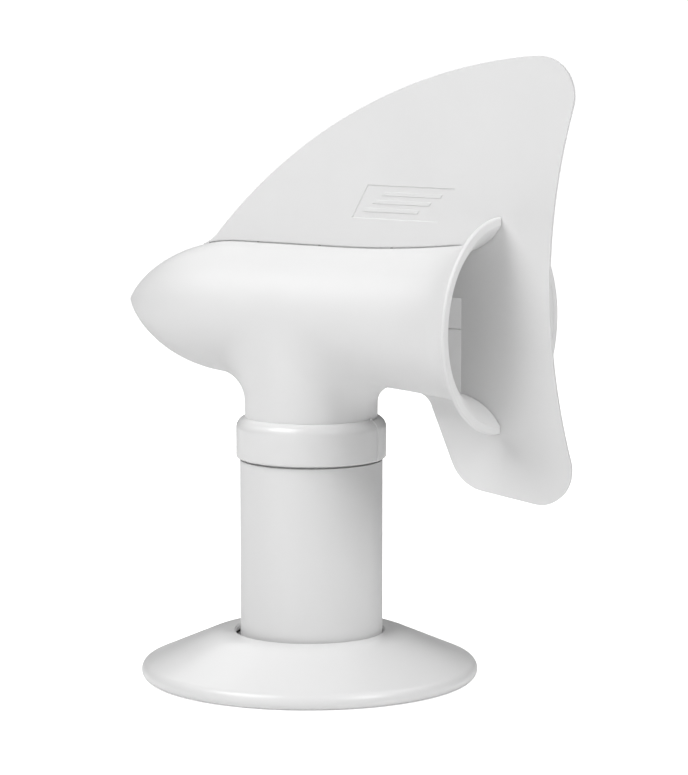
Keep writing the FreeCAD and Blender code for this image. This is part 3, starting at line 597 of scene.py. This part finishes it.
def slanted(name, corners, y_out, y_in, draft):
    """A slanted four-sided block whose sides lean in by draft from its outer to its inner face."""
    middle = sum((Vector(c) for c in corners), Vector((0, 0))) / 4
    rows = []
    for y, inset in ((y_out, 0.0), (y_in, draft)):
        offsets = [(c, Vector(c) - middle) for c in corners]
        rows.append([(c[0] - math.copysign(inset, offset.x), y, c[1] - math.copysign(inset, offset.y))
                     for c, offset in offsets])
    return solid(name, rows)


def emblem_bars():
    """Three slanted bars, each a little shorter at one end: a plain ornament on the panel."""
    low, high = PANEL[0][1], PANEL[1][1]
    lean = (PANEL[1][0] - PANEL[0][0]) / (high - low)
    thick = 2.0 * MM
    for number in range(3):
        rise = (3.2 + 3.8 * number) * MM
        start = PANEL[0][0] + lean * rise + (4.5 + 3.0 * number) * MM
        end = PANEL[3][0] + lean * rise - (5.0 + 4.0 * (2 - number)) * MM
        shift = lean * thick
        yield [(start, low + rise), (start + shift, low + rise + thick),
               (end + shift, low + rise + thick), (end, low + rise)]


def add_panel(mesh, side):
    """Sinks the shallow panel into one face and raises the ornament in it."""
    depth, rise, draft = 0.4 * MM, 0.3 * MM, 0.25 * MM
    face = side * FIN_HALF
    cutter = slanted("panel", PANEL, face + side * 0.2 * MM, face - side * depth, 1.5 * draft)
    mesh = boolean(mesh, cutter)
    for bar in emblem_bars():
        block = slanted("bar", bar, face - side * (depth + 0.2 * MM), face - side * (depth - rise), draft)
        mesh = boolean(mesh, block, "UNION")
    return mesh


def root_undercut(side):
    """A fine groove in one face, along the root: it reads as the dark line between vane and barrel."""
    low, high, deep = -0.2 * MM, 0.6 * MM, 0.8 * MM
    xs = evenly(FIN_BOX[0].x + 3.0 * MM, THROAT - 1.0 * MM, 40)
    under = [(x, AXIS + outer_radius(x) + low) for x in xs]
    over = [(x, AXIS + outer_radius(x) + high) for x in xs[::-1]]
    inner, outer = side * (FIN_HALF - deep), side * (FIN_HALF + 0.2 * MM)
    return prism("undercut", under + over, min(inner, outer), max(inner, outer))


EDGE_FRONT, EDGE_BACK = THROAT - 10.0 * MM, THROAT + 0.8 * MM      # reach of the front edge's thick band


def edge_rib(low, high, spread_out):
    """The band along the vane's front edge, from one height to another, wider toward its front."""
    wide = FIN_HALF + spread_out
    half = [(EDGE_BACK, FIN_HALF - 0.15 * MM), (THROAT - 0.1 * MM, FIN_HALF - 0.15 * MM),
            (THROAT - 0.1 * MM, FIN_HALF + 0.12 * MM), (EDGE_FRONT + 0.6 * MM, wide),
            (EDGE_FRONT, wide - 0.6 * MM)]
    section = half + [(x, -y) for x, y in half[::-1]]
    return solid("edge_rib", [[(x, y, z) for x, y in section] for z in (low, high)])


def add_front_edge(mesh):
    """The front edge inside the mouth: two lengths of band with a joint, a nub, and a plain length above."""
    joint, nub, gap, nub_height = AXIS - 2.8 * MM, AXIS + 11.4 * MM, 0.3 * MM, 0.7 * MM
    foot = AXIS - inner_radius(THROAT) + 0.3 * MM
    ceiling = AXIS + inner_radius(EDGE_FRONT) + 0.4 * MM
    for low, high, spread_out in ((foot, joint, 3.4 * MM), (joint + gap, nub - nub_height, 3.2 * MM),
                                  (nub - nub_height, nub, 4.4 * MM)):
        mesh = boolean(mesh, edge_rib(low, high, spread_out), "UNION")
    plain = FIN_HALF - 0.02 * MM
    above = [(EDGE_FRONT, nub), (EDGE_BACK, nub), (EDGE_BACK, ceiling), (EDGE_FRONT, ceiling)]
    return boolean(mesh, prism("upper_edge", above, -plain, plain), "UNION")


def vane_blank():
    """The vane's outline with its thickness and rounded edges, kept inside the CAD fin's box."""
    bm = bmesh.new()
    add_solid(bm, [[(x, y, z) for x, z in fin_outline()] for y in (-FIN_HALF, FIN_HALF)])
    bmesh.ops.remove_doubles(bm, verts=bm.verts, dist=1e-6)
    rims = [e for e in bm.edges if abs(e.verts[0].co.y - e.verts[1].co.y) < 1e-6]
    bmesh.ops.bevel(bm, geom=rims, offset=0.55 * MM, segments=4, profile=0.5, affect="EDGES",
                    clamp_overlap=True)
    for vert in bm.verts:
        vert.co.x = min(vert.co.x, FIN_BOX[1].x)
        vert.co.z = min(vert.co.z, FIN_BOX[1].z)
    return mesh_from("vane", bm)


def tail_fin(material):
    """The vane, with a shallow panel and a fine root line on each face and a thick front edge."""
    mesh = vane_blank()
    for side in (-1, 1):
        mesh = boolean(add_panel(mesh, side), root_undercut(side))
    return piece("vane", add_front_edge(mesh), "head", material, ["tail_fin"], sharp=24)


# ---------------------------------------------------------------- collar, stack and skirt

SEAM = math.radians(6.5)                  # where the collar's halves meet, round from the mouth
SEAM_GAP = math.radians(0.1)              # half the gap between them
COLLAR_GRIP = 31.05 * MM                  # the collar's bore on the neck


def collar_section(proud=0.0):
    """The collar's section as (radius, height): a straight skirt, a round shoulder and the neck's grip."""
    foot, top, outer = COLLAR_BOX[0].z, COLLAR_BOX[1].z, 35.12 * MM
    bore, grip, ledge, round_top, edge = 33.9 * MM, COLLAR_GRIP, 116.6 * MM, 5.6 * MM, 1.15 * MM
    centre = (outer - round_top, top - round_top)
    crest = centre[1] + math.sqrt(round_top ** 2 - (grip - centre[0]) ** 2)
    shoulder = arc_about(centre, round_top + proud, (outer + proud, centre[1]), (grip, crest + proud), 16)
    low = arc_about((outer + proud - edge, foot + edge), edge, (outer + proud - edge, foot),
                    (outer + proud, foot + edge), 6)
    shoulder[-1] = (grip, shoulder[-1][1])
    inner = [(grip, ledge), (bore, ledge), (bore, foot + 0.3 * MM), (bore + 0.3 * MM, foot)]
    return inner[2:] + low + shoulder + inner[:2]


def collar_half(material, name, node, start, sweep):
    """Half of the collar; the far half, which sweeps the positive way, has the gap beside the seam."""
    mesh = lathe(name, collar_section(), start=start, sweep=sweep, steps=HALF_TURN)
    if sweep > 0:
        mesh = boolean(mesh, crest_gap())
    return piece(name, mesh, "head", material, [node], sharp=30)


def crest_gap():
    """The short open gap between the far half's crest and the neck, beside the seam."""
    low, high = COLLAR_BOX[1].z - 2.4 * MM, COLLAR_BOX[1].z + 0.5 * MM
    inner, outer = COLLAR_GRIP - 0.3 * MM, COLLAR_GRIP + 0.75 * MM
    section = [(inner, low), (outer, low), (outer, high), (inner, high)]
    return lathe("crest_gap", section, start=SEAM + math.radians(0.6), sweep=math.radians(15), steps=12)


def collar_seam(material):
    """The bead along the near half's edge."""
    span, proud = math.radians(1.0), 0.42 * MM
    mesh = lathe("collar_seam_bead", collar_section(proud), start=SEAM - SEAM_GAP - span, sweep=span, steps=3)
    bead = piece("collar_seam_bead", mesh, "head", material, sharp=60)
    rounding = bead.modifiers.new("rounding", "BEVEL")
    rounding.width, rounding.segments, rounding.limit_method = 0.12 * MM, 2, "ANGLE"
    return bead


def seam_nub(material):
    """The small nub of flash at the bead's top."""
    bm = bmesh.new()
    bmesh.ops.create_icosphere(bm, subdivisions=3, radius=0.8 * MM)
    flatten, turn, reach = 0.7, SEAM - math.radians(1.6), 31.6 * MM
    for vert in bm.verts:
        vert.co.z *= flatten
    place = Vector((reach * math.cos(turn), reach * math.sin(turn), COLLAR_BOX[1].z + 0.1 * MM))
    bmesh.ops.translate(bm, verts=bm.verts, vec=place)
    return piece("collar_seam_nub", mesh_from("collar_seam_nub", bm), "head", material)


def stack_tube(material):
    """The plain tube: turned down where the collar covers it, with the spider's counterbore inside."""
    outer, foot, top = TUBE_BOX[1].x, TUBE_BOX[0].z, TUBE_BOX[1].z
    bore, wide, ledge = 30.55 * MM, 31.55 * MM, 85.0 * MM
    shoulder, slim = COLLAR_BOX[0].z - 0.95 * MM, outer - 1.2 * MM
    profile = rounded([(bore, foot, 0.3 * MM), (outer, foot, 0.3 * MM), (outer, shoulder, 0.2 * MM),
                       (slim, shoulder, 0.1 * MM), (slim, top, 0.25 * MM), (wide, top, 0.2 * MM),
                       (wide, ledge), (bore, ledge, 0.2 * MM)])
    mesh = lathe("stack", profile)
    return piece("stack", mesh, "base", material, ["stack_tube"], sharp=40)


def trim_skirt(material):
    """The loose cone: a flat top round its hole, straight slopes and a rolled rim."""
    centre = (SKIRT_BOX[0] + SKIRT_BOX[1]) / 2
    rim = (SKIRT_BOX[1].x - SKIRT_BOX[0].x) / 2
    shoulder, wall, widest, slope = 4.5 * MM, 2.2 * MM, 3.6 * MM, math.radians(23.5)
    top, knee_round = 21.9 * MM, 24 * MM
    hub, tangent = (rim - shoulder, widest), math.pi / 2 - slope
    bore, inner_rim = 34.7 * MM, 73.8 * MM
    cone_end, inner_end = [(hub[0] + r * math.cos(tangent), hub[1] + r * math.sin(tangent))
                           for r in (shoulder, shoulder - wall)]
    top_radius, under = bore + 0.7 * MM, top - wall
    knee = (cone_end[0] - (top - cone_end[1]) / math.tan(slope), top)
    under_knee = (inner_end[0] - (under - inner_end[1]) / math.tan(slope), under)
    bend = round_corner(cone_end, knee, (top_radius, top), knee_round, 10)
    rim_level = inner_end[1] - (inner_rim - inner_end[0]) * math.tan(slope)
    foot = (rim - widest, 0.0)
    roll = arc_about((rim - widest, widest), widest, foot, (rim, widest), 12)
    turn = arc_about(hub, shoulder, (rim, widest), cone_end, 16)
    lip = bow((top_radius, top), (bore, top - 0.6 * MM), 0.75 * MM, 1, 6)
    profile = (roll + turn[1:] + straight(cone_end, bend[0], 6) + bend[1:] + [(top_radius, top)] + lip
               + [(bore, under), under_knee, (inner_rim, rim_level), (inner_rim, 0.0)])
    mesh = lathe("skirt_cone", profile, steps=3 * HALF_TURN)
    mesh.transform(Matrix.Translation((centre.x, centre.y, 0)))
    return piece("skirt_cone", mesh, "skirt", material, ["trim_skirt"], sharp=40)


# ---------------------------------------------------------------- flange, gasket and seal

SCREW_REACH, SCREW_HOLE = 57.5 * MM, 2.5 * MM


def screw_places():
    """Where the four roof screws go through."""
    for number in range(4):
        angle = math.radians(45 + 90 * number)
        yield SCREW_REACH * math.cos(angle), SCREW_REACH * math.sin(angle)


def ring_section(inner, outer, low, high, edge):
    """A ring's rectangular section with rounded corners."""
    return rounded([(inner, low, edge), (outer, low, edge), (outer, high, edge), (inner, high, edge)])


def upright(name, radius, low, high, x=0.0, y=0.0, flare=0.0, steps=32):
    """An upright cylinder, wider by flare at its top, to cut with."""
    mesh = lathe(name, [(0.0, low), (radius, low), (radius + flare, high), (0.0, high)], steps=steps)
    mesh.transform(Matrix.Translation((x, y, 0)))
    return mesh


def mounting_flange(material):
    """The screw-down disc with its ribbed hub and countersunk holes."""
    low, high = FLANGE_BOX
    outer, plate = high.x, 5.5 * MM
    bore, seat, socket, hub = 31.2 * MM, 4.0 * MM, TUBE_BOX[1].x + 0.03 * MM, 37.5 * MM
    rib_reach, rib_top, rib_half, ribs = 54 * MM, plate + 11 * MM, 1.2 * MM, 8
    profile = rounded([(bore, low.z), (outer, low.z, 0.4 * MM), (outer, plate, 1.4 * MM),
                       (hub, plate, 1.5 * MM), (hub, high.z, 1.0 * MM), (socket, high.z, 0.4 * MM),
                       (socket, seat), (bore, seat)])
    mesh = lathe("flange_plate", profile)
    rib = rounded([(hub - 1 * MM, plate - 0.5 * MM), (rib_reach, plate - 0.5 * MM),
                   (rib_reach, plate + 0.5 * MM), (hub + 0.4 * MM, rib_top, 1.5 * MM),
                   (hub - 1 * MM, rib_top)])
    for number in range(ribs):
        blade = prism("rib", rib, -rib_half, rib_half)
        blade.transform(Matrix.Rotation(2 * math.pi / ribs * number, 4, "Z"))
        mesh = boolean(mesh, blade, "UNION")
    for x, y in screw_places():
        mesh = boolean(mesh, upright("hole", SCREW_HOLE, 0.0, high.z, x, y))
        mesh = boolean(mesh, upright("sink", SCREW_HOLE, plate - 1.6 * MM, plate + 0.4 * MM, x, y, 2.4 * MM))
    return piece("flange_plate", mesh, "base", material, ["mounting_flange"], sharp=30)


def roof_gasket(material):
    """A rubber ring with rounded edges and a hole for each screw."""
    low, high = GASKET_BOX
    outer, bore, edge = high.x, 31.2 * MM, 0.4 * MM
    mesh = lathe("gasket_ring", ring_section(bore, outer, low.z, high.z, edge))
    for x, y in screw_places():
        mesh = boolean(mesh, upright("hole", SCREW_HOLE, low.z - MM, high.z + MM, x, y))
    return piece("gasket_ring", mesh, "base", material, ["roof_gasket"], sharp=40)


def pipe_seal(material):
    """The rubber ring that grips the roof's pipe, with two soft lips in its bore."""
    low, high = SEAL_BOX
    outer, bore, edge = high.x, 30.55 * MM, 0.3 * MM
    depth, steps = 0.35 * MM, 24
    lips = [(bore + depth * (1 - abs(math.sin(2 * math.pi * i / steps))),
             high.z + (low.z - high.z) * i / steps) for i in range(steps + 1)]
    outside = rounded([(bore, low.z), (outer, low.z, edge), (outer, high.z, edge), (bore, high.z)])[1:-1]
    mesh = lathe("seal_ring", outside + lips)
    return piece("seal_ring", mesh, "base", material, ["pipe_seal"], sharp=60)


# ---------------------------------------------------------------- spider, yoke and small parts

def carrier(name, node, body, material, ring_outer, ring_inner, foot, top, hub, hub_foot, hub_top, bore):
    """A ring, three arms and a bored hub, with softened edges, as one moulding."""
    edge = 0.4 * MM
    arms, arm_half, arm_end = 3, 2 * MM, ring_inner + 0.5 * MM
    mesh = lathe(name, ring_section(ring_inner, ring_outer, foot, top, edge))
    hub_section = rounded([(0.0, hub_foot), (hub, hub_foot, edge), (hub, hub_top, edge), (0.0, hub_top)])
    core = lathe("core", hub_section, steps=HALF_TURN)
    arm_side = rounded([(hub - MM, foot, 0.1 * MM), (arm_end, foot), (arm_end, top),
                        (hub - MM, top, 0.1 * MM)])
    for number in range(arms):
        arm = prism("arm", arm_side, -arm_half, arm_half)
        arm.transform(Matrix.Rotation(2 * math.pi / arms * number, 4, "Z"))
        mesh = boolean(mesh, arm, "UNION")
    mesh = boolean(mesh, core, "UNION")
    mesh = boolean(mesh, upright("bore", bore, hub_foot - MM, hub_top + MM))
    made = piece(name, mesh, body, material, [node], sharp=30)
    rounding = made.modifiers.new("rounding", "BEVEL")
    rounding.width, rounding.segments, rounding.limit_method = 0.25 * MM, 2, "ANGLE"
    rounding.angle_limit = math.radians(60)
    return made


def dress(node, material):
    """Gives a CAD part that stays in view its finish."""
    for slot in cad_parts[node].material_slots:
        slot.material = material


# ---------------------------------------------------------------- floor, light and camera

def floor_material():
    """Pale and matt, with a glow that only the eye sees: soft by the object, white farther out."""
    material, tree, surface, place = shader("studio_floor")
    soft = tint(tree, spread(tree, noise(tree, place, 3.0), 0.0, 1.0), (0.93, 0.93, 0.93), (0.95, 0.95, 0.95))
    tree.links.new(soft, surface.inputs["Base Color"])
    surface.inputs["Roughness"].default_value = 0.9
    surface.inputs["Specular IOR Level"].default_value = 0.1
    glow = tree.nodes.new("ShaderNodeEmission")
    path = tree.nodes.new("ShaderNodeLightPath")
    both = tree.nodes.new("ShaderNodeAddShader")
    away = tree.nodes.new("ShaderNodeVectorMath")
    away.operation = "LENGTH"
    tree.links.new(place, away.inputs[0])
    lift = tree.nodes.new("ShaderNodeMapRange")
    near, far = 0.12, 0.45
    lift.inputs["From Min"].default_value, lift.inputs["From Max"].default_value = near, far
    lift.inputs["To Min"].default_value, lift.inputs["To Max"].default_value = 0.78, 1.02
    tree.links.new(away.outputs["Value"], lift.inputs["Value"])
    seen = tree.nodes.new("ShaderNodeMath")
    seen.operation = "MULTIPLY"
    tree.links.new(path.outputs["Is Camera Ray"], seen.inputs[0])
    tree.links.new(lift.outputs["Result"], seen.inputs[1])
    tree.links.new(seen.outputs["Value"], glow.inputs["Strength"])
    tree.links.new(surface.outputs["BSDF"], both.inputs[0])
    tree.links.new(glow.outputs["Emission"], both.inputs[1])
    tree.links.new(both.outputs["Shader"], tree.nodes["Material Output"].inputs["Surface"])
    return material


def stage_floor():
    """A floor so wide and white that it meets the backdrop without a horizon."""
    bm = bmesh.new()
    bmesh.ops.create_grid(bm, x_segments=1, y_segments=1, size=12.0)
    mesh = bpy.data.meshes.new("studio_floor")
    bm.to_mesh(mesh)
    bm.free()
    floor = bpy.data.objects.new("studio_floor", mesh)
    floor.location.z = -0.2 * MM
    mesh.materials.append(floor_material())
    bpy.context.scene.collection.objects.link(floor)


def studio_world(seen, ambient):
    """A white backdrop to the eye, and a softer grey light on the object."""
    world = bpy.data.worlds.new("studio")
    bpy.context.scene.world = world
    world.use_nodes = True
    tree = world.node_tree
    tree.nodes.clear()
    out = tree.nodes.new("ShaderNodeOutputWorld")
    path = tree.nodes.new("ShaderNodeLightPath")
    mix = tree.nodes.new("ShaderNodeMixShader")
    shades = []
    for strength in (ambient, seen):
        shade = tree.nodes.new("ShaderNodeBackground")
        shade.inputs["Color"].default_value = (1.0, 1.0, 1.0, 1.0)
        shade.inputs["Strength"].default_value = strength
        shades.append(shade)
    tree.links.new(path.outputs["Is Camera Ray"], mix.inputs["Fac"])
    tree.links.new(shades[0].outputs["Background"], mix.inputs[1])
    tree.links.new(shades[1].outputs["Background"], mix.inputs[2])
    tree.links.new(mix.outputs["Shader"], out.inputs["Surface"])


def softbox(name, azimuth, elevation, distance, size, power):
    """An area light aimed at the middle of the object; angles are as the camera's."""
    light = bpy.data.lights.new(name, "AREA")
    light.shape, light.size, light.size_y = "RECTANGLE", size[0], size[1]
    light.energy = power
    made = bpy.data.objects.new(name, light)
    a, e = math.radians(azimuth), math.radians(elevation)
    way = Vector((math.sin(a) * math.cos(e), -math.cos(a) * math.cos(e), math.sin(e)))
    middle = (cad_low + cad_high) / 2
    made.location = middle + way * distance
    made.rotation_mode = "QUATERNION"
    made.rotation_quaternion = way.to_track_quat("Z", "Y")
    bpy.context.scene.collection.objects.link(made)


def main_camera():
    """Three-quarter view from the mouth's side, a little above the object."""
    azimuth, pitch, yaw = math.radians(34.9), 0.12971, 0.009758
    distance, height = 1.563317, 0.340214
    data = bpy.data.cameras.new("camera")
    data.sensor_width, data.lens = 36.0, 157.14
    data.clip_start, data.clip_end = 0.05, 50.0
    made = bpy.data.objects.new("camera", data)
    made.location = (distance * math.sin(azimuth), -distance * math.cos(azimuth), height)
    made.rotation_euler = (math.pi / 2 - pitch, 0.0, azimuth - yaw)
    bpy.context.scene.collection.objects.link(made)
    bpy.context.scene.camera = made


# ---------------------------------------------------------------- the whole vent

main_camera()
studio_world(seen=1.1, ambient=0.07)
softbox("key", azimuth=-25, elevation=48, distance=1.6, size=(1.0, 0.8), power=16.7)
softbox("side", azimuth=78, elevation=34, distance=1.8, size=(0.6, 0.9), power=13.4)
softbox("high_right", azimuth=105, elevation=68, distance=1.6, size=(0.8, 0.8), power=2.0)
softbox("left", azimuth=-70, elevation=30, distance=1.6, size=(0.8, 0.8), power=1.4)
softbox("low_front", azimuth=0, elevation=12, distance=1.8, size=(1.2, 0.5), power=2.8)
softbox("back_left", azimuth=-120, elevation=40, distance=1.6, size=(0.8, 0.8), power=2.8)
softbox("back_right", azimuth=125, elevation=45, distance=1.6, size=(0.8, 0.8), power=2.8)
stage_floor()
bpy.context.scene.view_settings.view_transform = "Standard"

shell_plastic = plastic("shell_plastic", 0.79, 0.46, 0.004 * MM, 0.02 * MM)
fin_plastic = plastic("fin_plastic", 0.79, 0.42, 0.006 * MM, 0.02 * MM)
collar_plastic = plastic("collar_plastic", 0.80, 0.24, 0.002 * MM, 0.02 * MM, coat=0.2)
skirt_plastic = plastic("skirt_plastic", 0.79, 0.34, 0.003 * MM, 0.03 * MM, coat=0.2)
tube_plastic = plastic("tube_plastic", 0.77, 0.5, 0.006 * MM, 0.015 * MM, stretch=(1.0, 1.0, 0.06))
inner_plastic = plastic("inner_plastic", 0.7, 0.5, 0.01 * MM, 0.02 * MM, warmth=0.02)
acetal = plastic("acetal", 0.82, 0.34, 0.002 * MM, 0.01 * MM, warmth=0.08)
black_rubber = rubber("moulded_rubber")
steel = turned_steel("turned_steel")

head_shell(shell_plastic)
tail_fin(fin_plastic)
collar_half(collar_plastic, "collar_near", "collar_half_left", SEAM - SEAM_GAP, -(math.pi - 2 * SEAM_GAP))
collar_half(collar_plastic, "collar_far", "collar_half_right", SEAM + SEAM_GAP, math.pi - 2 * SEAM_GAP)
collar_seam(collar_plastic)
seam_nub(collar_plastic)
stack_tube(tube_plastic)
trim_skirt(skirt_plastic)
mounting_flange(inner_plastic)
roof_gasket(black_rubber)
pipe_seal(black_rubber)
carrier("spider_frame", "bearing_spider", "base", inner_plastic,
        ring_outer=31.52 * MM, ring_inner=28.8 * MM, foot=85 * MM, top=97 * MM,
        hub=7.5 * MM, hub_foot=90 * MM, hub_top=103 * MM, bore=4.5 * MM)
carrier("yoke_frame", "head_yoke", "head", inner_plastic,
        ring_outer=27.95 * MM, ring_inner=25.4 * MM, foot=114 * MM, top=123 * MM,
        hub=7.0 * MM, hub_foot=105.3 * MM, hub_top=125 * MM, bore=2.5 * MM)
for node in ("bushing_upper", "bushing_lower", "thrust_washer", "lower_washer"):
    dress(node, acetal)
for node in ("fin_pins", "yoke_screws", "spindle", "spindle_clip", "collar_pins"):
    dress(node, steel)
